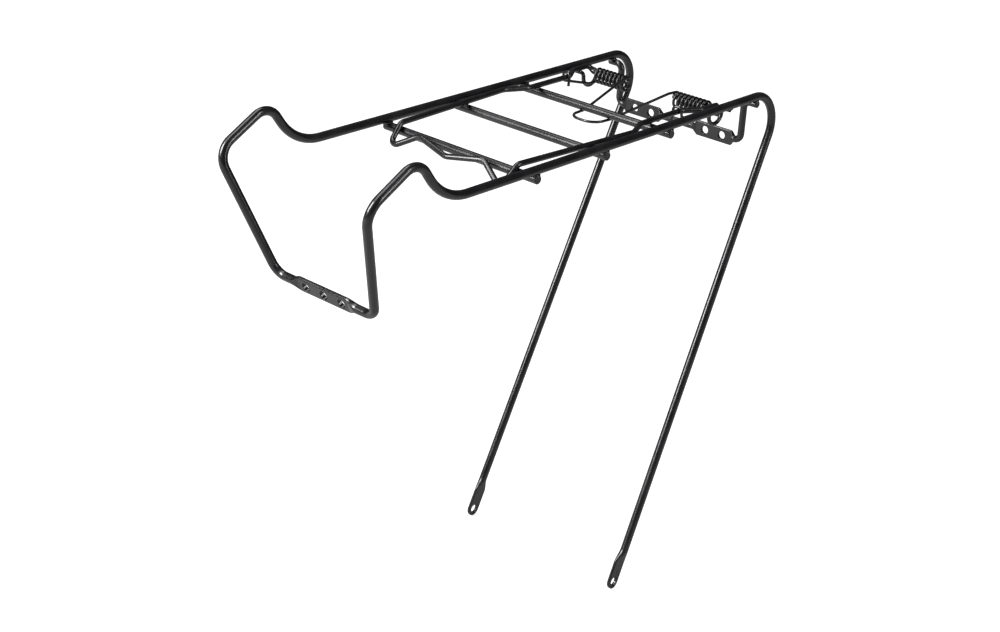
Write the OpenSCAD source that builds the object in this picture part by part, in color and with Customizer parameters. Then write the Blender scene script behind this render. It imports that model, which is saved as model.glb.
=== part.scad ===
// Rear carrier for a bicycle, bent from round steel rod, with a sprung luggage clamp.
// The main rod is one piece: eyelet, stay, rail, front loop and the same again mirrored.
// +Z is up, +Y points to the rear wheel's back, X = 0 is the bicycle's centre plane.
// The origin is midway between the two stay eyelets, on the line through their holes.

/* [Main rod] */
// Diameter of the main rod
rod_d = 6; // [5:0.5:8]
// Distance between the centre lines of the two rails
rail_span = 130; // [110:1:160]
// Height of the rails' centre lines above the eyelets
rail_h = 345; // [300:1:400]
// How far behind the eyelets the lines of rail and stay meet
rear_reach = 161; // [140:1:200]
// Radius of the rear bend, on the centre line
rear_r = 23; // [15:1:35]

/* [Front loop] */
// Where the rail starts to rise, ahead of the eyelets
dip_y = 191; // [180:1:220]
// Radius of the bend where the rail starts to rise
dip_r = 40; // [20:1:45]
// How far the peak of the hump lies ahead of that bend
hump_run = 22; // [20:1:40]
// Height of the hump's peak above the rails
hump_rise = 31; // [28:1:45]
// Radius of the hump
hump_r = 13; // [8:1:15]
// How far the front corner lies ahead of the hump's peak
corner_run = 40.5; // [35:0.5:60]
// Height of the front corner above the rails
corner_rise = 8.5; // [0:0.5:12]
// Radius of the front corner
corner_r = 14; // [8:1:18]
// How far the bottom of the loop lies behind the front corner
foot_run = 29.5; // [10:0.5:45]
// How far the bottom of the loop lies below the rails
foot_drop = 72; // [55:0.5:100]
// Distance between the two bottom corners, where their lines meet
foot_span = 88; // [84:1:110]
// Radius of the bottom corners
foot_r = 10; // [8:1:14]

/* [Front plate] */
// Diameter of the three bolt holes
plate_hole_d = 6.2; // [4:0.1:6.5]
// Distance from one hole to the next
plate_pitch = 16; // [12:1:20]
// Length of the flat part
plate_l = 42; // [40:1:52]
// Width of the flat part
plate_w = 11.4; // [8.5:0.1:12]
// Thickness of the flat part
plate_t = 3; // [2:0.1:4]

/* [Stay eyelets] */
// Distance between the middles of the two stay ends
eyelet_span = 143; // [120:1:170]
// Diameter of the bolt hole in each eyelet
eyelet_hole_d = 6.2; // [5:0.1:6.5]
// Width of the pressed end
eyelet_w = 11.6; // [9.5:0.1:13]
// Thickness of the pressed end
eyelet_t = 2.5; // [2:0.1:3.5]
// Length of flat metal above the hole
eyelet_l = 15; // [10:1:25]

/* [Cross bars] */
// Diameter of the cross bars
bar_d = 6; // [5:0.5:8]
// How far the cross bars reach past the rails' centre lines
bar_past = 2.5; // [1:0.5:20]
// Distance of the rear cross bar behind the eyelets
bar_y = 26; // [15:1:30]
// Distance from one cross bar to the next
bar_pitch = 67.5; // [50:0.5:72]

/* [Lamp bracket] */
// Diameter of the bracket's rod
lamp_d = 5; // [4:0.5:6]
// Distance of the bracket behind the eyelets
lamp_y = 125; // [118:1:130]
// How far the two plates lie below the rails
lamp_drop = 35; // [28:1:60]
// Distance between the two legs
lamp_span = 112; // [106:1:116]
// Distance between the outer pair of holes
lamp_outer = 80; // [80:1:84]
// Distance between the inner pair of holes
lamp_inner = 50; // [46:1:50]
// Diameter of the four holes
lamp_hole_d = 5.8; // [4.5:0.1:6.5]
// Width of the two plates
lamp_plate_w = 11.4; // [9.5:0.1:12]
// Thickness of the two plates
lamp_plate_t = 2.2; // [1.6:0.1:3]

/* [Clamp] */
// Diameter of the clamp's wire
clamp_d = 4; // [3:0.5:4]
// Distance of the clamp's pivot behind the eyelets
pivot_y = 89; // [84:1:96]
// How far the pivot lies below the rails' centre lines
pivot_drop = 3.5; // [3:0.1:3.5]
// Air between the clamp's arms and the rails
arm_gap = 1.5; // [1:0.1:3]
// How far the arms step in between the spring hooks and the rear cross bar
arm_step = 8.5; // [7:0.5:10]
// How far the clamp's front corners lie ahead of the front cross bar
nose_run = 15; // [14:1:25]
// How far the clamp's front corners dip below the arms
nose_drop = 13; // [10:1:20]

/* [Pivot brackets] */
// Diameter of the brackets' wire
bracket_d = 3; // [2.5:0.5:3]
// Distance between the two arms of a bracket
bracket_span = 14.6; // [14.6:0.1:18]
// How far a bracket hangs below the rails' centre lines
bracket_drop = 15.8; // [14:0.1:22]

/* [Spring] */
// Diameter of the spring's wire
spring_d = 2; // [1.6:0.1:2.2]
// Outside diameter of the coils
coil_d = 12; // [9:0.1:13]
// Turns in each coil
coil_turns = 8; // [6:1:9]
// Length of each coil
coil_l = 29; // [24:1:30]

/* [Hidden] */
$fn = 24;
paint = "#2a2a2c";
weld_sink = 0.3;                        // how far welded rods melt into each other
bend_draw = 0.1;                        // how much thinner a rod's radius is in its bends
press_lap = 0.5;                        // how far a round rod runs on into its pressed part
far = 60;                               // longer than any cut

// ---- vectors and frames -------------------------------------------------------------------
function unit(v) = v / norm(v);
function mirror_x(p) = [-p.x, p.y, p.z];
function reversed(list) = [for (i = [len(list) - 1:-1:0]) list[i]];
// The first half of a route and its mirror image, ending where it began
function both_sides(half) = concat(half, [for (p = reversed(half)) if (abs(p.x) > 0.01) mirror_x(p)]);
// Angle between two directions, and how much of a corner's sides a bend of radius r takes
function turn(u, w) = acos(max(-1, min(1, u * w)));
function trim(a, b, c, r) = r * tan(turn(unit(b - a), unit(c - b)) / 2);

// Puts the children's Z along the direction v, and their X as near to side as it can be
module frame_to(at, v, side) {
    z = unit(v);
    y = unit(cross(z, side));
    x = cross(y, z);
    multmatrix([[x.x, y.x, z.x, at.x], [x.y, y.y, z.y, at.y], [x.z, y.z, z.z, at.z], [0, 0, 0, 1]])
        children();
}

// A straight piece of round rod
module bar(a, b, d) {
    v = b - a;
    side = abs(unit(v).x) > 0.9 ? [0, 1, 0] : [1, 0, 0];
    frame_to(a, v, side) cylinder(d = d, h = norm(v));
}

// The bend of a rod at b, on its way from a to c
module bend(a, b, c, r, d) {
    u = unit(b - a);
    w = unit(c - b);
    t = turn(u, w);
    middle = b + unit(w - u) * r / cos(t / 2);
    start = b - u * r * tan(t / 2);
    x = unit(start - middle);
    z = cross(x, u);
    multmatrix([[x.x, u.x, z.x, middle.x], [x.y, u.y, z.y, middle.y], [x.z, u.z, z.z, middle.z],
                [0, 0, 0, 1]])
        rotate_extrude(angle = t) translate([r, 0]) circle(d = d);
}

// A rod bent to a route: radii[i] is the bend at the route's corner i + 1. Bending draws the
// rod thinner by a hair, so a straight piece runs on over the start of a bend and holds it.
module bent_rod(route, radii, d) {
    last = len(route) - 1;
    cut = [for (i = [0:last]) i == 0 || i == last ? 0
        : trim(route[i - 1], route[i], route[i + 1], radii[i - 1]) - sqrt(radii[i - 1] * bend_draw)];
    for (i = [0:last - 1]) {
        v = unit(route[i + 1] - route[i]);
        bar(route[i] + v * cut[i], route[i + 1] - v * cut[i + 1], d);
    }
    for (i = [1:last - 1])
        bend(route[i - 1], route[i], route[i + 1], radii[i - 1], d - 2 * bend_draw);
}

// A round rod of diameter d pressed flat: it spreads to w by t over the length ease, and
// the flat part goes on for l. side moves the flat part off the rod's axis, and out is the
// length over which it turns round again at the far end.
module pressed(d, w, t, ease, l, side = 0, out = 0) {
    r = d / 2 + bend_draw;
    h = d * 0.55;
    end = ease + l;
    intersection() {
        union() {
            cylinder(r1 = r, r2 = w / 2, h = ease);
            translate([0, 0, ease]) cylinder(d = w, h = l);
            if (out > 0) translate([0, 0, end]) cylinder(r1 = w / 2, r2 = r, h = out);
        }
        rotate([90, 0, 0]) linear_extrude(height = 2 * w, center = true)
            polygon(concat([[-h, 0], [h, 0], [side + t / 2, ease], [side + t / 2, end]],
                           out > 0 ? [[h, end + out], [-h, end + out]] : [],
                           [[side - t / 2, end], [side - t / 2, ease]]));
    }
}

// ---- places --------------------------------------------------------------------------------
rear_corner = [rail_span / 2, rear_reach, rail_h];
dip_corner = [rail_span / 2, -dip_y, rail_h];
hump_corner = [rail_span / 2, -dip_y - hump_run, rail_h + hump_rise];
front_corner = [rail_span / 2, hump_corner.y - corner_run, rail_h + corner_rise];
foot_corner = [foot_span / 2, front_corner.y + foot_run, rail_h - foot_drop];
eyelet = [eyelet_span / 2, 0, 0];

// Which way the stay runs from its eyelet, and where it stops being pressed flat
stay_way = unit(rear_corner - eyelet);
eyelet_ease = 10;
stay_end = eyelet + stay_way * (eyelet_l + eyelet_ease);
eyelet_side = -0.9;                     // the pressed end lies nearer the wheel

// The flat plate leans with the front legs
leg_lean = atan2(foot_run, foot_drop + corner_rise);
plate_ease = 8;
plate_end = plate_l / 2 + plate_ease;
plate_mid = [0, foot_corner.y, foot_corner.z];

bar_z = rail_h - rod_d / 2 - bar_d / 2 + weld_sink;
bar_l = rail_span + 2 * bar_past;
lamp_top_z = rail_h - rod_d / 2 - lamp_d / 2 + weld_sink;
lamp_z = rail_h - lamp_drop;
lamp_corner_r = 5;
// The bracket's rod ends past the rail or past its own leg's bend, whichever is further out
lamp_end = max(rail_span / 2 + bar_past, lamp_span / 2 + lamp_corner_r + 2);
lamp_ease = 4;
plate_in = lamp_inner / 2 - lamp_plate_w / 2 - lamp_ease - 1;  // where the middle rod ends

pivot_z = rail_h - pivot_drop;
arm_x = rail_span / 2 - rod_d / 2 - arm_gap - clamp_d / 2;
inner_x = arm_x - arm_step;
coil_in = 21.5;
coil_out = coil_in + coil_l;
hook_y = pivot_y - 35;                  // where the spring takes hold of the arms
step_rear_y = pivot_y - 18;             // the arms come back out behind the hooks
front_bar_y = bar_y - 2 * bar_pitch;
nose_y = front_bar_y - nose_run;

// ---- the main rod --------------------------------------------------------------------------
module half_main_rod() {
    bent_rod([stay_end - stay_way * press_lap, rear_corner, dip_corner, hump_corner, front_corner,
              foot_corner, [plate_end - press_lap, plate_mid.y, plate_mid.z]],
             [rear_r, dip_r, hump_r, corner_r, foot_r], rod_d);
    difference() {
        intersection() {
            frame_to(stay_end, -stay_way, [-1, 0, 0])
                pressed(rod_d, eyelet_w, eyelet_t, eyelet_ease, eyelet_l + eyelet_w / 2, -eyelet_side);
            union() {
                frame_to(eyelet, stay_way, [1, 0, 0]) translate([-rod_d, -eyelet_w, 0])
                    cube([2 * rod_d, 2 * eyelet_w, far]);
                frame_to(eyelet, stay_way, [1, 0, 0]) rotate([0, 90, 0])
                    cylinder(d = eyelet_w, h = 4 * rod_d, center = true);
            }
        }
        translate(eyelet) rotate([0, 90, 0]) cylinder(d = eyelet_hole_d, h = far, center = true);
    }
}

module main_rod() color(paint) {
    half_main_rod();
    mirror([1, 0, 0]) half_main_rod();
    difference() {
        frame_to([-plate_end, plate_mid.y, plate_mid.z], [1, 0, 0], [0, cos(leg_lean), sin(leg_lean)])
            pressed(rod_d, plate_w, plate_t, plate_ease, plate_l, 0, plate_ease);
        for (i = [-1:1]) translate(plate_mid + [i * plate_pitch, 0, 0]) rotate([90 + leg_lean, 0, 0])
            cylinder(d = plate_hole_d, h = far, center = true);
    }
}

// ---- cross bars ----------------------------------------------------------------------------
module cross_bar(y) color(paint)
    translate([0, y, bar_z]) rotate([0, 90, 0]) cylinder(d = bar_d, h = bar_l, center = true);

module front_cross_bar() cross_bar(front_bar_y);
module middle_cross_bar() cross_bar(bar_y - bar_pitch);
module rear_cross_bar() cross_bar(bar_y);

// ---- lamp bracket: one rod with two flat plates ---------------------------------------------
module half_lamp_bracket() {
    leg_x = lamp_span / 2;
    plate_out = leg_x - lamp_corner_r;
    out_ease = lamp_ease / 2;
    bent_rod([[lamp_end, lamp_y, lamp_top_z], [leg_x, lamp_y, lamp_top_z], [leg_x, lamp_y, lamp_z],
              [plate_out - press_lap, lamp_y, lamp_z]], [lamp_corner_r, lamp_corner_r], lamp_d);
    difference() {
        frame_to([plate_out, lamp_y, lamp_z], [-1, 0, 0], [0, 1, 0])
            pressed(lamp_d, lamp_plate_w, lamp_plate_t, out_ease,
                    plate_out - out_ease - lamp_ease - plate_in, 0, lamp_ease);
        for (x = [lamp_inner / 2, lamp_outer / 2])
            translate([x, lamp_y, lamp_z]) rotate([90, 0, 0])
                cylinder(d = lamp_hole_d, h = far, center = true);
    }
}

module lamp_bracket() color(paint) {
    half_lamp_bracket();
    mirror([1, 0, 0]) half_lamp_bracket();
    translate([0, lamp_y, lamp_z]) rotate([0, 90, 0])
        cylinder(d = lamp_d, h = 2 * (plate_in + press_lap), center = true);
}

// ---- pivot brackets: a wire U under each rail -----------------------------------------------
module pivot_bracket_left() color(paint) {
    top = rail_h - rod_d / 2 - bracket_d / 2 + weld_sink;
    weld_x = rail_span / 2 - 0.5;
    hang_x = arm_x - 1.5;
    low = rail_h - bracket_drop + bracket_d / 2;
    top_r = 2.5;
    u_r = bracket_span / 2 - 0.2;
    half = [[weld_x, bracket_span / 2, top], [hang_x, bracket_span / 2, top],
            [hang_x, bracket_span / 2, low]];
    other = [for (p = reversed(half)) [p.x, -p.y, p.z]];
    translate([0, pivot_y, 0]) bent_rod(concat(half, other), [top_r, u_r, u_r, top_r], bracket_d);
}
module pivot_bracket_right() mirror([1, 0, 0]) pivot_bracket_left();

// ---- clamp: one wire, hinged on its two turned-in ends --------------------------------------
stub_x = coil_in - 1.5;                 // the turned-in ends reach just past the coils
crank_x = arm_x - 4.5;                  // where a turned-in end starts to rise to its arm
step_y = [hook_y + 3, bar_y - 13, bar_y - 30];  // the arms' steps, from the rear
bow_x = arm_x - 7;                      // the arms close in a little towards the nose
nose_x = bow_x - 2;
nose_peak = [28.5, front_bar_y - 8, rail_h - 1.5];
nose_dip = [0, front_bar_y - 13, rail_h - 6];
clamp_half = [[stub_x, pivot_y, pivot_z], [crank_x, pivot_y, pivot_z], [arm_x, pivot_y, rail_h],
              [arm_x, step_rear_y, rail_h], [inner_x, step_y[0], rail_h],
              [inner_x, step_y[1], rail_h], [arm_x, step_y[2], rail_h],
              [bow_x, front_bar_y - 2, rail_h + 0.5], [nose_x, nose_y, rail_h - nose_drop],
              nose_peak, nose_dip];
clamp_radii = [3.4, 3.4, 9, 9, 9, 9, 6, 5, 8];

module clamp_bail() color(paint)
    bent_rod(both_sides(clamp_half), concat(clamp_radii, [10], reversed(clamp_radii)), clamp_d);

// ---- spring: two coils joined by a bail under the rear cross bar ----------------------------
// Points along a route whose corners are rounded, radii as for a bent rod
function arc_points(a, b, c, r, step) =
    let (u = unit(b - a), w = unit(c - b), t = turn(u, w), n = max(2, ceil(t / step)),
         middle = b + unit(w - u) * r / cos(t / 2), x = unit(b - u * r * tan(t / 2) - middle))
    [for (i = [0:n]) middle + r * (x * cos(t * i / n) + u * sin(t * i / n))];
function round_route(p, radii, step) =
    [for (i = [0:len(p) - 1]) each
        (i == 0 || i == len(p) - 1 ? [p[i]] : arc_points(p[i - 1], p[i], p[i + 1], radii[i - 1], step))];

wire_air = 0.3;                         // air between the spring and the clamp's wire
coil_mean = (coil_d - spring_d) / 2;
// The coils hang on the clamp's turned-in ends
coil_z = pivot_z - (coil_mean - spring_d / 2 - clamp_d / 2 - wire_air);
coil_sweep = 360 * (coil_turns + 0.5);
coil_step = 30;
bail_z = bar_z - bar_d / 2 - spring_d / 2 - 0.2;
bail_y = bar_y - 14;
hook_gap = clamp_d / 2 + spring_d / 2 + wire_air;

// From the middle of the bail to the top of the coil's inner end
bail_half = round_route([[0, bail_y, bail_z], [11.5, bail_y, bail_z], [12.5, bar_y + 4, bail_z],
                         [coil_in - 0.8, pivot_y - 7, coil_z + coil_mean],
                         [coil_in - 0.3, pivot_y, coil_z + coil_mean]], [10, 20, 8], 15);
coil_half = [for (i = [1:coil_sweep / coil_step - 1]) let (a = 90 - i * coil_step)
    [coil_in + coil_l * i * coil_step / coil_sweep, pivot_y + coil_mean * cos(a),
     coil_z + coil_mean * sin(a)]];
hook_half = round_route([[coil_out, pivot_y, coil_z - coil_mean],
                         [coil_out + 0.3, pivot_y - 8, coil_z - coil_mean],
                         [inner_x + hook_gap, hook_y + 0.5, rail_h - hook_gap],
                         [inner_x + hook_gap, hook_y, rail_h + hook_gap],
                         [inner_x - hook_gap, hook_y - 0.5, rail_h + hook_gap],
                         [inner_x - hook_gap, hook_y - 1.5, rail_h - 5.5]], [12, 2.4, 2.4, 2.4], 22);
spring_half = concat(bail_half, coil_half, hook_half);
spring_route = concat([for (i = [len(spring_half) - 1:-1:1]) mirror_x(spring_half[i])], spring_half);

// A round wire swept along points: each ring's own X is carried on from the ring before
module swept_wire(p, d, sides) {
    last = len(p) - 1;
    ways = [for (i = [0:last]) unit(p[min(i + 1, last)] - p[max(i - 1, 0)])];
    xs = [for (i = 0, x = unit(cross(ways[0], [0, 0.3, 1])); i <= last; i = i + 1,
               x = i <= last ? unit(x - ways[i] * (x * ways[i])) : x) x];
    rings = [for (i = [0:last], k = [0:sides - 1]) let (a = 360 * k / sides, y = cross(ways[i], xs[i]))
        p[i] + d / 2 * (xs[i] * cos(a) + y * sin(a))];
    walls = [for (i = [0:last - 1], k = [0:sides - 1]) let (n = (k + 1) % sides)
        [i * sides + k, (i + 1) * sides + k, (i + 1) * sides + n, i * sides + n]];
    polyhedron(rings, concat(walls, [[for (k = [0:sides - 1]) k],
                                     [for (k = [sides - 1:-1:0]) last * sides + k]]));
}

module torsion_spring() color(paint) swept_wire(spring_route, spring_d, 8);

main_rod();
front_cross_bar();
middle_cross_bar();
rear_cross_bar();
lamp_bracket();
pivot_bracket_left();
pivot_bracket_right();
clamp_bail();
torsion_spring();
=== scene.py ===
import math

import bmesh
import bpy
from mathutils import Matrix, Quaternion, Vector


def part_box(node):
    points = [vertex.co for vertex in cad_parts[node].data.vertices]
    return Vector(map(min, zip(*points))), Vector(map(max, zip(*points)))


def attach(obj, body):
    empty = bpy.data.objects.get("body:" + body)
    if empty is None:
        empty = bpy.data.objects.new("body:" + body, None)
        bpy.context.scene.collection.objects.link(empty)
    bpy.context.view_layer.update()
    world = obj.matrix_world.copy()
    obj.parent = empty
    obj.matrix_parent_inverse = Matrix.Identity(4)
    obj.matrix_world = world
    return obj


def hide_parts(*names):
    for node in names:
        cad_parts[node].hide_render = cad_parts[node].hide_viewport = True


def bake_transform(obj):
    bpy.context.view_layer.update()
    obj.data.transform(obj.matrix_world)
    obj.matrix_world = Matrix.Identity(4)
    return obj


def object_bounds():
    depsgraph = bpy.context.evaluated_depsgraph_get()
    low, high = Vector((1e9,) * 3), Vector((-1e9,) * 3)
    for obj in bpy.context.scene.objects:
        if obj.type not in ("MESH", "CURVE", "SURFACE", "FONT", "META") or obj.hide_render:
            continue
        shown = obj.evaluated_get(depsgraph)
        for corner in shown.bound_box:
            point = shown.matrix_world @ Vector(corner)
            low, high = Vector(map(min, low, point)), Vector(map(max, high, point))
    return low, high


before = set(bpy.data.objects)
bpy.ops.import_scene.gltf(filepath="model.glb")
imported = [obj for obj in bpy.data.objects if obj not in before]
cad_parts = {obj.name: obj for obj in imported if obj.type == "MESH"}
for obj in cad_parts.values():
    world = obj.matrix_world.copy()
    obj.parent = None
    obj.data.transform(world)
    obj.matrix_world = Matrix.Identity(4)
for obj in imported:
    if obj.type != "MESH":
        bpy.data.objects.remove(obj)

cad_low, cad_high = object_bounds()
bpy.ops.object.select_all(action="DESELECT")

# ---------------------------------------------------------------------------------------------
# Camera. A long lens stands in front of the carrier's left side and looks down on its deck.
CAMERA_PLACE = Vector((0.7454, -0.9098, 0.7269))
CAMERA_TURN = math.radians(41.29)
CAMERA_TILT = math.radians(24.64)
CAMERA_ROLL = math.radians(3.15)
level = Vector((math.cos(CAMERA_TURN), math.sin(CAMERA_TURN), 0))
gaze = Vector((-math.sin(CAMERA_TURN) * math.cos(CAMERA_TILT),
               math.cos(CAMERA_TURN) * math.cos(CAMERA_TILT), -math.sin(CAMERA_TILT)))
upright = level.cross(gaze)
right = level * math.cos(CAMERA_ROLL) + upright * math.sin(CAMERA_ROLL)
up = upright * math.cos(CAMERA_ROLL) - level * math.sin(CAMERA_ROLL)
lens = bpy.data.cameras.new("camera")
lens.sensor_width = 36.0
lens.lens = 65.03
lens.clip_end = 50.0
camera = bpy.data.objects.new("camera", lens)
camera.matrix_world = Matrix((
    (right.x, up.x, -gaze.x, CAMERA_PLACE.x),
    (right.y, up.y, -gaze.y, CAMERA_PLACE.y),
    (right.z, up.z, -gaze.z, CAMERA_PLACE.z),
    (0, 0, 0, 1)))
bpy.context.scene.collection.objects.link(camera)
bpy.context.scene.camera = camera

# ---------------------------------------------------------------------------------------------
# Paint. The whole carrier is dipped in black gloss enamel over steel: it is near black, has a
# fine orange peel, and its shine is a little uneven where the coat ran thin or thick.
def black_enamel(name, orange_peel):
    paint = bpy.data.materials.new(name)
    paint.use_nodes = True
    nodes = paint.node_tree.nodes
    links = paint.node_tree.links
    shader = nodes["Principled BSDF"]
    shader.inputs["Metallic"].default_value = 0.0
    shader.inputs["IOR"].default_value = 1.5
    shader.inputs["Coat Weight"].default_value = 0.25
    shader.inputs["Coat Roughness"].default_value = 0.12
    where = nodes.new("ShaderNodeTexCoord")
    # thick and thin patches of the coat
    patches = nodes.new("ShaderNodeTexNoise")
    patches.inputs["Scale"].default_value = 55.0
    patches.inputs["Detail"].default_value = 4.0
    links.new(where.outputs["Object"], patches.inputs["Vector"])
    tint = nodes.new("ShaderNodeValToRGB")
    tint.color_ramp.elements[0].position = 0.35
    tint.color_ramp.elements[0].color = (0.006, 0.006, 0.007, 1)
    tint.color_ramp.elements[1].position = 0.7
    tint.color_ramp.elements[1].color = (0.013, 0.013, 0.015, 1)
    links.new(patches.outputs["Fac"], tint.inputs["Fac"])
    links.new(tint.outputs["Color"], shader.inputs["Base Color"])
    shine = nodes.new("ShaderNodeMapRange")
    shine.inputs["From Min"].default_value = 0.3
    shine.inputs["From Max"].default_value = 0.7
    shine.inputs["To Min"].default_value = 0.2
    shine.inputs["To Max"].default_value = 0.34
    links.new(patches.outputs["Fac"], shine.inputs["Value"])
    links.new(shine.outputs["Result"], shader.inputs["Roughness"])
    # orange peel, as fine waves in the surface
    peel = nodes.new("ShaderNodeTexNoise")
    peel.inputs["Scale"].default_value = 900.0
    peel.inputs["Detail"].default_value = 2.0
    links.new(where.outputs["Object"], peel.inputs["Vector"])
    bump = nodes.new("ShaderNodeBump")
    bump.inputs["Strength"].default_value = orange_peel
    bump.inputs["Distance"].default_value = 0.0002
    links.new(peel.outputs["Fac"], bump.inputs["Height"])
    links.new(bump.outputs["Normal"], shader.inputs["Normal"])
    return paint


enamel = black_enamel("black_enamel", 0.25)

# ---------------------------------------------------------------------------------------------
# Main rod. One length of 6 mm steel rod, bent cold from one stay eyelet over the rails and the
# front loop to the other eyelet. Its two ends and its front middle are pressed flat and drilled.
mm = 0.001
X = Vector((1, 0, 0))
ROD = 6 * mm
RAIL_X = 65 * mm
RAIL_Z = 345 * mm
CREASE = math.radians(38)


def select_only(piece):
    bpy.ops.object.select_all(action="DESELECT")
    piece.select_set(True)
    bpy.context.view_layer.objects.active = piece


def apply_place():
    """Puts the active piece's place, turn and size into its mesh."""
    bpy.ops.object.transform_apply(location=True, rotation=True, scale=True)


def start_rod(name, at, way, radius, sides=32):
    """A ring of rod at a point, open, and ready to be drawn out in edit mode."""
    turn = Quaternion(way, math.pi / sides) @ way.to_track_quat("Z", "Y")
    bpy.ops.mesh.primitive_circle_add(vertices=sides, radius=radius, location=at,
                                      rotation=turn.to_euler())
    rod = bpy.context.object
    rod.name = name
    apply_place()
    bpy.ops.object.mode_set(mode="EDIT")
    bpy.ops.mesh.select_mode(type="VERT")
    bpy.ops.mesh.select_all(action="SELECT")
    return rod


def draw_out(step):
    bpy.ops.mesh.extrude_region_move(TRANSFORM_OT_translate={"value": step})


def bend_round(middle, axis, angle):
    """Turns the selected ring round a middle, with a ring about every 4 degrees."""
    steps = max(4, round(math.degrees(angle) / 4))
    bpy.ops.mesh.spin(steps=steps, angle=-angle, center=middle, axis=axis)


def ring_of(rod):
    """The numbers of the selected ring's points, and the place of its middle."""
    shape = bmesh.from_edit_mesh(rod.data)
    points = [v for v in shape.verts if v.select]
    return {v.index for v in points}, sum((v.co for v in points), Vector()) / len(points)


def scale_ring(rod, factor):
    bpy.ops.transform.resize(value=(factor,) * 3, center_override=ring_of(rod)[1])


def choose(rod, points):
    """Selects these points of the rod, by number, and no others."""
    shape = bmesh.from_edit_mesh(rod.data)
    for v in shape.verts:
        v.select_set(v.index in points)
    shape.select_flush(True)


def spread(rod, across, amount):
    """Slides the two halves of the selected ring apart, or together where amount is negative."""
    ring, middle = ring_of(rod)
    verts = list(bmesh.from_edit_mesh(rod.data).verts)
    for half in (1, -1):
        side = {i for i in ring if (verts[i].co - middle).dot(across) * half > 0}
        choose(rod, side)
        bpy.ops.transform.translate(value=across * amount * half)
        verts = list(bmesh.from_edit_mesh(rod.data).verts)
    choose(rod, ring)


def press(rod, way, length, across, before, after, drift=Vector(), steps=8):
    """Draws the rod out while it changes from one pressed size to another. A size is half the
    width and half the thickness, and the two are equal where the rod is round."""
    was_w, was_t = before
    eased = 0.0
    for k in range(1, steps + 1):
        ease = (k / steps) ** 2 * (3 - 2 * k / steps)
        now_w = before[0] + (after[0] - before[0]) * ease
        now_t = before[1] + (after[1] - before[1]) * ease
        draw_out(way * length / steps + drift * (ease - eased))
        if was_w > was_t:
            spread(rod, across, was_t - was_w)
        scale_ring(rod, now_t / was_t)
        if now_w > now_t:
            spread(rod, across, now_w - now_t)
        was_w, was_t, eased = now_w, now_t, ease


def follow(route, bends):
    """Draws the selected ring along a route, with a round bend at each corner."""
    here = route[0]
    for corner, after, bend_r in zip(route[1:], route[2:], bends):
        u = (corner - here).normalized()
        w = (after - corner).normalized()
        angle = u.angle(w)
        short = bend_r * math.tan(angle / 2)
        draw_out(u * ((corner - here).length - short))
        middle = corner + (w - u).normalized() * bend_r / math.cos(angle / 2)
        bend_round(middle, u.cross(w).normalized(), angle)
        here = corner + w * short
    draw_out(route[-1] - here)


def round_end(rod, way, radius, edge, closing=True):
    """Rounds a cut end's rim in three steps, from full size down, or up to it where not closing."""
    for k in range(1, 4):
        now = math.radians(30 * k)
        before = math.radians(30 * (k - 1))
        if closing:
            step = edge * (math.sin(now) - math.sin(before))
            size = radius - edge * (1 - math.cos(now))
            was = radius - edge * (1 - math.cos(before))
        else:
            step = edge * (math.cos(before) - math.cos(now))
            size = radius - edge * (1 - math.sin(now))
            was = radius - edge * (1 - math.sin(before))
        draw_out(way * step)
        scale_ring(rod, size / was)


def finish_rod(rod):
    """Closes the open ends, turns every face outwards and leaves edit mode."""
    bpy.ops.mesh.select_all(action="SELECT")
    bpy.ops.mesh.remove_doubles(threshold=1e-7)
    bpy.ops.mesh.fill_holes(sides=0)
    bpy.ops.mesh.select_all(action="SELECT")
    bpy.ops.mesh.normals_make_consistent(inside=False)
    bpy.ops.object.mode_set(mode="OBJECT")


def smooth(piece):
    """Shades the piece smooth, with its pressed flats and drilled edges still crisp."""
    select_only(piece)
    bpy.ops.object.shade_smooth_by_angle(angle=CREASE)
    even = piece.modifiers.new("even", "WEIGHTED_NORMAL")
    even.keep_sharp = True
    bpy.ops.object.modifier_apply(modifier=even.name)


def drill(piece, at, way, radius, thick):
    """A bolt hole with a broken edge at both faces."""
    lip = 0.3 * mm
    past = 3 * mm
    wide = radius + past + lip
    bit = start_rod("drill", at - way * (thick / 2 + past), way, wide)
    draw_out(way * (past + lip))
    scale_ring(bit, radius / wide)
    draw_out(way * (thick - 2 * lip))
    draw_out(way * (past + lip))
    scale_ring(bit, wide / radius)
    finish_rod(bit)
    hole = piece.modifiers.new("hole", "BOOLEAN")
    hole.operation = "DIFFERENCE"
    hole.solver = "EXACT"
    hole.object = bit
    select_only(piece)
    bpy.ops.object.modifier_apply(modifier=hole.name)
    bpy.data.objects.remove(bit)


def set_paint(piece, paint):
    piece.data.materials.clear()
    piece.data.materials.append(paint)


def other_side(points):
    """The points mirrored to the other side, in the order in which the rod comes back."""
    return [Vector((-p.x, p.y, p.z)) for p in reversed(points) if abs(p.x) > 1e-5]


# The left half's corners are the rear bend, the dip, the hump, the front corner and the foot.
half_route = [
    Vector((RAIL_X, 161 * mm, RAIL_Z)),
    Vector((RAIL_X, -191 * mm, RAIL_Z)),
    Vector((RAIL_X, -213 * mm, 376 * mm)),
    Vector((RAIL_X, -253.5 * mm, 353.5 * mm)),
    Vector((44 * mm, -224 * mm, 273 * mm))]
half_bends = [23 * mm, 40 * mm, 13 * mm, 14 * mm, 10 * mm]

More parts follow.
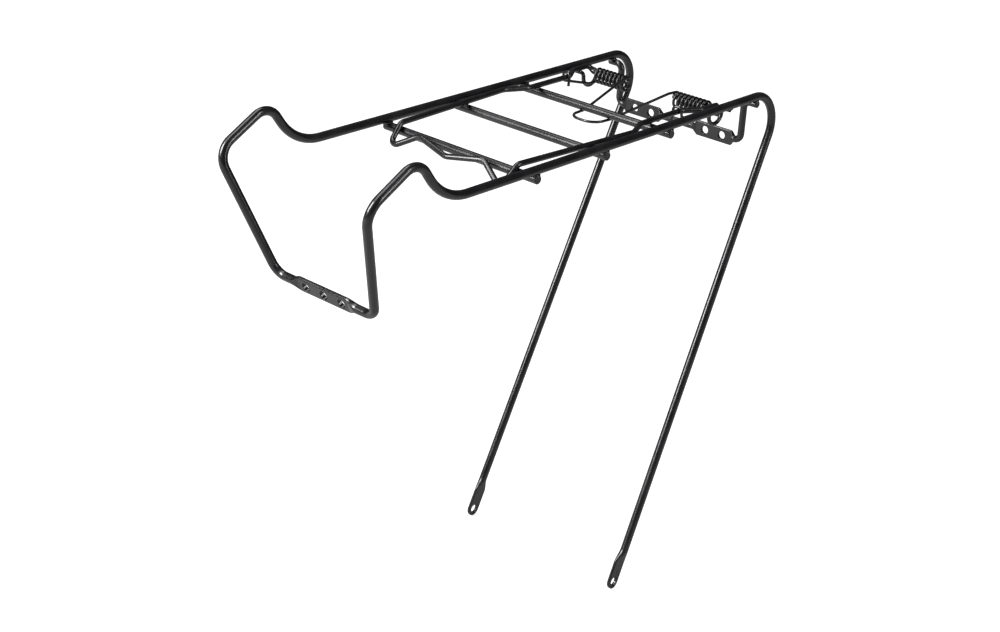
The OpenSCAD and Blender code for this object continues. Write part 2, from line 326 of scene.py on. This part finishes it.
eyelet = Vector((71.5 * mm, 0, 0))
EYELET_W = 11.6 * mm
EYELET_T = 2.5 * mm
EYELET_L = 15 * mm
EYELET_EASE = 10 * mm
SHOULDER = X * 0.9 * mm
PLATE_W = 11.4 * mm
PLATE_T = 3 * mm
PLATE_L = 42 * mm
PLATE_EASE = 8 * mm
PLATE_PITCH = 16 * mm
BOLT_HOLE_R = 3.1 * mm
round_rod = (ROD / 2, ROD / 2)
eyelet_flat = (EYELET_W / 2, EYELET_T / 2)
plate_flat = (PLATE_W / 2, PLATE_T / 2)
front_leg = half_route[-2] - half_route[-1]
plate_across = Vector((0, front_leg.y, front_leg.z)).normalized()
plate_middle = Vector((0, half_route[-1].y, half_route[-1].z))
plate_end = PLATE_L / 2 + PLATE_EASE

# An eyelet's tip is a half circle: these are the angles of its rings, seen from the bolt hole.
tip_angles = [math.asin(EYELET_T / EYELET_W)] + [math.radians(a) for a in (22, 31, 41, 52, 64, 77, 90)]
TIP_EDGE = 0.12 * mm
TIP_FACE = 0.8


def tip_size(angle):
    """Half the width and half the thickness of the eyelet, at this angle round its tip."""
    return (EYELET_W / 2 * math.sin(angle), EYELET_T / 2)


def tip_run(outer, inner):
    """How far apart two of the tip's rings lie along the stay."""
    return EYELET_W / 2 * (math.cos(outer) - math.cos(inner))


stay_way = (half_route[0] - eyelet).normalized()
stay_across = stay_way.cross(X).normalized()
tip = eyelet - SHOULDER - stay_way * EYELET_W / 2 * math.cos(tip_angles[0])
main_rod = start_rod("carrier_rod", tip - stay_way * TIP_EDGE, stay_way, EYELET_T / 2 * TIP_FACE)
draw_out(stay_way * TIP_EDGE)
scale_ring(main_rod, 1 / TIP_FACE)
for outer, inner in zip(tip_angles, tip_angles[1:]):
    press(main_rod, stay_way, tip_run(outer, inner), stay_across, tip_size(outer), tip_size(inner), steps=1)
draw_out(stay_way * EYELET_L)
press(main_rod, stay_way, EYELET_EASE, stay_across, eyelet_flat, round_rod, SHOULDER)
stay_end = eyelet + stay_way * (EYELET_L + EYELET_EASE)
follow([stay_end] + half_route + [plate_middle + X * plate_end], half_bends)
press(main_rod, -X, PLATE_EASE, plate_across, round_rod, plate_flat)
draw_out(-X * PLATE_L)
press(main_rod, -X, PLATE_EASE, plate_across, plate_flat, round_rod)
right_route = other_side(half_route) + other_side([stay_end])
follow([plate_middle - X * plate_end] + right_route, half_bends[::-1])
down_way = Vector((stay_way.x, -stay_way.y, -stay_way.z))
down_across = down_way.cross(X).normalized()
press(main_rod, down_way, EYELET_EASE, down_across, round_rod, eyelet_flat, SHOULDER)
draw_out(down_way * EYELET_L)
for inner, outer in zip(tip_angles[::-1], tip_angles[-2::-1]):
    press(main_rod, down_way, tip_run(outer, inner), down_across, tip_size(inner), tip_size(outer), steps=1)
draw_out(down_way * TIP_EDGE)
scale_ring(main_rod, TIP_FACE)
finish_rod(main_rod)
for side in (1, -1):
    drill(main_rod, (eyelet - SHOULDER) * side, X, BOLT_HOLE_R, EYELET_T)
for place in (-1, 0, 1):
    at = plate_middle + X * place * PLATE_PITCH
    drill(main_rod, at, X.cross(plate_across), BOLT_HOLE_R, PLATE_T)
smooth(main_rod)
set_paint(main_rod, enamel)
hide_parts("main_rod")
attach(main_rod, "frame")

# ---------------------------------------------------------------------------------------------
# Cross bars. Three cut lengths of the same 6 mm rod lie under the rails and stick out a little
# past them. Each is resistance welded where it crosses a rail.
BAR_L = 135 * mm
BAR_EDGE = 0.5 * mm


def bar_place(node):
    low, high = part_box(node)
    return (Vector(low) + Vector(high)) / 2


def copy_of(piece, name):
    """A copy with its own mesh, which is left as the only piece selected."""
    twin = piece.copy()
    twin.data = piece.data.copy()
    twin.name = name
    bpy.context.scene.collection.objects.link(twin)
    select_only(twin)
    return twin


front_start = bar_place("front_cross_bar") - X * BAR_L / 2
front_bar = start_rod("front_bar", front_start, X, ROD / 2 - BAR_EDGE)
round_end(front_bar, X, ROD / 2, BAR_EDGE, closing=False)
draw_out(X * (BAR_L - 2 * BAR_EDGE))
round_end(front_bar, X, ROD / 2, BAR_EDGE)
finish_rod(front_bar)
smooth(front_bar)
set_paint(front_bar, enamel)
bars = {"front_cross_bar": front_bar}
for node, name in (("middle_cross_bar", "middle_bar"), ("rear_cross_bar", "rear_bar")):
    bars[node] = copy_of(front_bar, name)
    bars[node].location = bar_place(node) - bar_place("front_cross_bar")
    apply_place()
for node, piece in bars.items():
    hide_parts(node)
    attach(piece, "frame")

# ---------------------------------------------------------------------------------------------
# Lamp bracket. A 5 mm rod welded under both rails: it turns down, crosses over, and is pressed
# into two flat plates, each drilled twice for a lamp or a reflector.
Y = Vector((0, 1, 0))
Z = Vector((0, 0, 1))
LAMP_ROD = 5 * mm
LAMP_EDGE = 0.4 * mm
LAMP_BEND = 5 * mm
LAMP_Y = 125 * mm
LAMP_TOP = 339.8 * mm
LAMP_Z = 310 * mm
LAMP_END_X = 67.5 * mm
LAMP_LEG_X = 56 * mm
LAMP_OUTER_X = 50.8 * mm
LAMP_INNER_X = 14.3 * mm
OUTER_EASE = 3 * mm
INNER_EASE = 4 * mm
LAMP_W = 11.4 * mm
LAMP_T = 2.2 * mm
LAMP_HOLES_X = (-40, -25, 25, 40)
LAMP_HOLE_R = 2.9 * mm
lamp_round = (LAMP_ROD / 2, LAMP_ROD / 2)
lamp_flat = (LAMP_W / 2, LAMP_T / 2)
lamp_half = [
    Vector((LAMP_END_X - LAMP_EDGE, LAMP_Y, LAMP_TOP)),
    Vector((LAMP_LEG_X, LAMP_Y, LAMP_TOP)),
    Vector((LAMP_LEG_X, LAMP_Y, LAMP_Z)),
    Vector((LAMP_OUTER_X, LAMP_Y, LAMP_Z))]
plate_run = LAMP_OUTER_X - OUTER_EASE - INNER_EASE - LAMP_INNER_X

lamp_end = Vector((LAMP_END_X, LAMP_Y, LAMP_TOP))
lamp_bracket = start_rod("lamp_rod", lamp_end, -X, LAMP_ROD / 2 - LAMP_EDGE)
round_end(lamp_bracket, -X, LAMP_ROD / 2, LAMP_EDGE, closing=False)
follow(lamp_half, [LAMP_BEND, LAMP_BEND])
press(lamp_bracket, -X, OUTER_EASE, Z, lamp_round, lamp_flat)
draw_out(-X * plate_run)
press(lamp_bracket, -X, INNER_EASE, Z, lamp_flat, lamp_round)
draw_out(-X * 2 * LAMP_INNER_X)
press(lamp_bracket, -X, INNER_EASE, Z, lamp_round, lamp_flat)
draw_out(-X * plate_run)
press(lamp_bracket, -X, OUTER_EASE, Z, lamp_flat, lamp_round)
follow(other_side(lamp_half), [LAMP_BEND, LAMP_BEND])
round_end(lamp_bracket, -X, LAMP_ROD / 2, LAMP_EDGE)
finish_rod(lamp_bracket)
for x in LAMP_HOLES_X:
    drill(lamp_bracket, Vector((x * mm, LAMP_Y, LAMP_Z)), Y, LAMP_HOLE_R, LAMP_T)
smooth(lamp_bracket)
set_paint(lamp_bracket, enamel)
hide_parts("lamp_bracket")
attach(lamp_bracket, "frame")

# ---------------------------------------------------------------------------------------------
# Pivot brackets. A U of 3 mm wire hangs under each rail, with its two ends welded to the rail's
# underside. The clamp's wire turns inside it.
BRACKET_WIRE = 3 * mm
BRACKET_EDGE = 0.3 * mm
PIVOT_Y = 89 * mm
PIVOT_Z = 341.5 * mm
U_HALF = 7.3 * mm
U_WELD_X = 64.5 * mm
U_HANG_X = 57 * mm
U_TOP = 340.8 * mm
U_LOW = 330.7 * mm
U_TOP_BEND = 2.5 * mm
U_LOW_BEND = 7.1 * mm


def u_arm(y):
    """The corners of one arm of the U, from its weld to the bend under the clamp's wire."""
    return [Vector((U_WELD_X - BRACKET_EDGE, y, U_TOP)), Vector((U_HANG_X, y, U_TOP)),
            Vector((U_HANG_X, y, U_LOW))]


u_start = Vector((U_WELD_X, PIVOT_Y + U_HALF, U_TOP))
left_bracket = start_rod("left_pivot_wire", u_start, -X, BRACKET_WIRE / 2 - BRACKET_EDGE)
round_end(left_bracket, -X, BRACKET_WIRE / 2, BRACKET_EDGE, closing=False)
follow(u_arm(PIVOT_Y + U_HALF) + u_arm(PIVOT_Y - U_HALF)[::-1],
       [U_TOP_BEND, U_LOW_BEND, U_LOW_BEND, U_TOP_BEND])
round_end(left_bracket, X, BRACKET_WIRE / 2, BRACKET_EDGE)
finish_rod(left_bracket)
smooth(left_bracket)
set_paint(left_bracket, enamel)
right_bracket = copy_of(left_bracket, "right_pivot_wire")
right_bracket.rotation_euler.z = math.pi
right_bracket.location.y = 2 * PIVOT_Y
apply_place()
for piece, node in ((left_bracket, "pivot_bracket_left"), (right_bracket, "pivot_bracket_right")):
    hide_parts(node)
    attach(piece, "frame")

# ---------------------------------------------------------------------------------------------
# Weld beads. Squeezed-out steel makes a low, slightly uneven collar wherever a bar, the lamp
# bracket or a pivot bracket meets a rail's underside. It is painted over with the rest.
WELD_Z = RAIL_Z - ROD / 2
BEAD_EDGE = 1.1 * mm
BEAD_WAVE = 0.25 * mm
BAR_BEAD_R = 3.1 * mm
LAMP_BEAD_R = 2.7 * mm
PIVOT_BEAD_R = 1.9 * mm
PIVOT_BEAD_X = RAIL_X - 0.8 * mm


def weld_bead(name, x, y, radius, seed):
    bead = start_rod(name, Vector((x, y, WELD_Z - BEAD_EDGE)), Z, radius - BEAD_EDGE, sides=20)
    round_end(bead, Z, radius, BEAD_EDGE, closing=False)
    round_end(bead, Z, radius, BEAD_EDGE)
    bpy.ops.mesh.select_all(action="SELECT")
    bpy.ops.transform.vertex_random(offset=BEAD_WAVE, seed=seed)
    finish_rod(bead)
    smooth(bead)
    set_paint(bead, enamel)
    return bead


beads = []
for side in (1, -1):
    for node, radius in (("front_cross_bar", BAR_BEAD_R), ("middle_cross_bar", BAR_BEAD_R),
                         ("rear_cross_bar", BAR_BEAD_R), ("lamp_bracket", LAMP_BEAD_R)):
        low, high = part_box(node)
        beads.append(weld_bead("weld", RAIL_X * side, (low[1] + high[1]) / 2, radius, len(beads)))
    for y in (PIVOT_Y - U_HALF, PIVOT_Y + U_HALF):
        beads.append(weld_bead("weld", PIVOT_BEAD_X * side, y, PIVOT_BEAD_R, len(beads)))
bpy.ops.object.select_all(action="DESELECT")
for bead in beads:
    bead.select_set(True)
bpy.context.view_layer.objects.active = beads[0]
bpy.ops.object.join()
welds = beads[0]
welds.name = "weld_beads"
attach(welds, "frame")

# ---------------------------------------------------------------------------------------------
# Clamp. One 4 mm spring wire runs all round: its two ends turn in through the pivot brackets
# and the coils, its arms step in past the spring hooks, and its nose dips over the front bar.
CLAMP_WIRE = 4 * mm
CLAMP_EDGE = 0.4 * mm
CLAMP_END_X = 20 * mm
clamp_end = Vector((CLAMP_END_X, PIVOT_Y, PIVOT_Z))
# Two corners turn the end into the arm, four step the arm in and out, and four make the nose.
clamp_half = [clamp_end + X * CLAMP_EDGE] + [Vector(p) * mm for p in (
    (54, 89, 341.5), (58.5, 89, 345),
    (58.5, 71, 345), (50, 57, 345), (50, 13, 345), (58.5, -4, 345),
    (51.5, -111, 345.5), (49.5, -124, 332), (28.5, -117, 343.5), (0, -122, 339))]
clamp_bends = [r * mm for r in (3.4, 3.4, 9, 9, 9, 9, 6, 5, 8)]
NOSE_BEND = 10 * mm
clamp = start_rod("clamp_wire", clamp_end, X, CLAMP_WIRE / 2 - CLAMP_EDGE)
round_end(clamp, X, CLAMP_WIRE / 2, CLAMP_EDGE, closing=False)
follow(clamp_half + other_side(clamp_half), clamp_bends + [NOSE_BEND] + clamp_bends[::-1])
round_end(clamp, X, CLAMP_WIRE / 2, CLAMP_EDGE)
finish_rod(clamp)
smooth(clamp)
set_paint(clamp, enamel)
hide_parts("clamp_bail")
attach(clamp, "clamp")

# ---------------------------------------------------------------------------------------------
# Spring. One 2 mm spring wire makes both coils: its middle is a bail that pushes up under the
# rear cross bar, and its two ends hook round the clamp's arms. Each half is drawn in one go.
SPRING_WIRE = 2 * mm
SPRING_EDGE = 0.3 * mm
COIL_L = 29 * mm
TURNS = 8.5
COIL_STEPS = round(TURNS * 24)
HOOK_BEND = 2.4 * mm
coil_middle = Vector((0, PIVOT_Y, 339.8 * mm))
bail_route = [Vector(p) * mm for p in ((0, 12, 335.1), (11.5, 12, 335.1), (12.5, 30, 335.1),
                                       (20.7, 82, 344.8), (21.5, 89, 344.8))]
hook_route = [Vector(p) * mm for p in ((50.5, 89, 334.8), (50.8, 81, 334.8), (53.3, 54.5, 341.7),
                                       (53.3, 54, 348.3), (46.7, 53.5, 348.3), (46.7, 52.5, 339.5))]
left_spring = start_rod("left_spring", bail_route[0], X, SPRING_WIRE / 2, sides=16)
follow(bail_route, [10 * mm, 20 * mm, 8 * mm])
for _ in range(COIL_STEPS):
    bpy.ops.mesh.spin(steps=1, angle=-2 * math.pi * TURNS / COIL_STEPS, center=coil_middle, axis=-X)
    bpy.ops.transform.translate(value=X * COIL_L / COIL_STEPS)
follow(hook_route, [12 * mm, HOOK_BEND, HOOK_BEND, HOOK_BEND])
hook_way = (hook_route[-1] - hook_route[-2]).normalized()
round_end(left_spring, hook_way, SPRING_WIRE / 2, SPRING_EDGE)
finish_rod(left_spring)
smooth(left_spring)
set_paint(left_spring, enamel)
right_spring = copy_of(left_spring, "right_spring")
right_spring.scale.x = -1
apply_place()
bpy.ops.object.mode_set(mode="EDIT")
bpy.ops.mesh.select_all(action="SELECT")
bpy.ops.mesh.normals_make_consistent(inside=False)
bpy.ops.object.mode_set(mode="OBJECT")
smooth(right_spring)
for piece, side in ((left_spring, 1), (right_spring, -1)):
    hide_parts("torsion_spring")
    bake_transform(piece)

# ---------------------------------------------------------------------------------------------
# Floor and light. The floor and the surroundings look white to the camera only. What the paint
# mirrors is a dim room, with a wide light overhead, a narrow tall one on the left and one in front.
FLOOR_SIZE = 30
FLOOR_GAP = 0.5 * mm
FLOOR_GLOW = 0.85
ROOM_GLOW = 0.05
bpy.ops.mesh.primitive_plane_add(size=FLOOR_SIZE, location=(0, 0, cad_low[2] - FLOOR_GAP))
floor = bpy.context.object
floor.name = "floor"
pale = bpy.data.materials.new("pale_floor")
pale.use_nodes = True
pale_nodes = pale.node_tree.nodes
pale_links = pale.node_tree.links
matt = pale_nodes["Principled BSDF"]
matt.inputs["Base Color"].default_value = (0.4, 0.4, 0.4, 1)
matt.inputs["Roughness"].default_value = 0.9
matt.inputs["Specular IOR Level"].default_value = 0.1
matt.inputs["Emission Color"].default_value = (1, 1, 1, 1)
glow = pale_nodes.new("ShaderNodeMath")
glow.operation = "MULTIPLY"
glow.inputs[1].default_value = FLOOR_GLOW
floor_seen = pale_nodes.new("ShaderNodeLightPath")
pale_links.new(floor_seen.outputs["Is Camera Ray"], glow.inputs[0])
pale_links.new(glow.outputs["Value"], matt.inputs["Emission Strength"])
floor.data.materials.append(pale)


def soft_light(name, place, aim, size, watts):
    lamp = bpy.data.lights.new(name, "AREA")
    lamp.shape = "RECTANGLE"
    lamp.size = size[0]
    lamp.size_y = size[1]
    lamp.energy = watts
    light = bpy.data.objects.new(name, lamp)
    light.location = place
    light.rotation_euler = (Vector(aim) - Vector(place)).to_track_quat("-Z", "Y").to_euler()
    bpy.context.scene.collection.objects.link(light)


soft_light("overhead", place=(-0.7, -0.3, 2.4), aim=(0, 0, 0.2), size=(2.2, 1.1), watts=30)
soft_light("left", place=(1.7, 0.4, 1.0), aim=(0, 0, 0.2), size=(0.3, 1.4), watts=14)
soft_light("front", place=(-0.9, -1.9, 1.6), aim=(0, 0, 0.3), size=(0.9, 1.6), watts=110)

world = bpy.data.worlds.new("studio")
world.use_nodes = True
air = world.node_tree
backdrop = air.nodes["Background"]
backdrop.inputs["Color"].default_value = (1, 1, 1, 1)
backdrop.inputs["Strength"].default_value = 1.0
dim = air.nodes.new("ShaderNodeBackground")
dim.inputs["Color"].default_value = (1, 1, 1, 1)
dim.inputs["Strength"].default_value = ROOM_GLOW
sky_seen = air.nodes.new("ShaderNodeLightPath")
room = air.nodes.new("ShaderNodeMixShader")
air.links.new(sky_seen.outputs["Is Camera Ray"], room.inputs["Fac"])
air.links.new(dim.outputs["Background"], room.inputs[1])
air.links.new(backdrop.outputs["Background"], room.inputs[2])
air.links.new(room.outputs["Shader"], air.nodes["World Output"].inputs["Surface"])
bpy.context.scene.world = world
bpy.context.scene.view_settings.view_transform = "Standard"
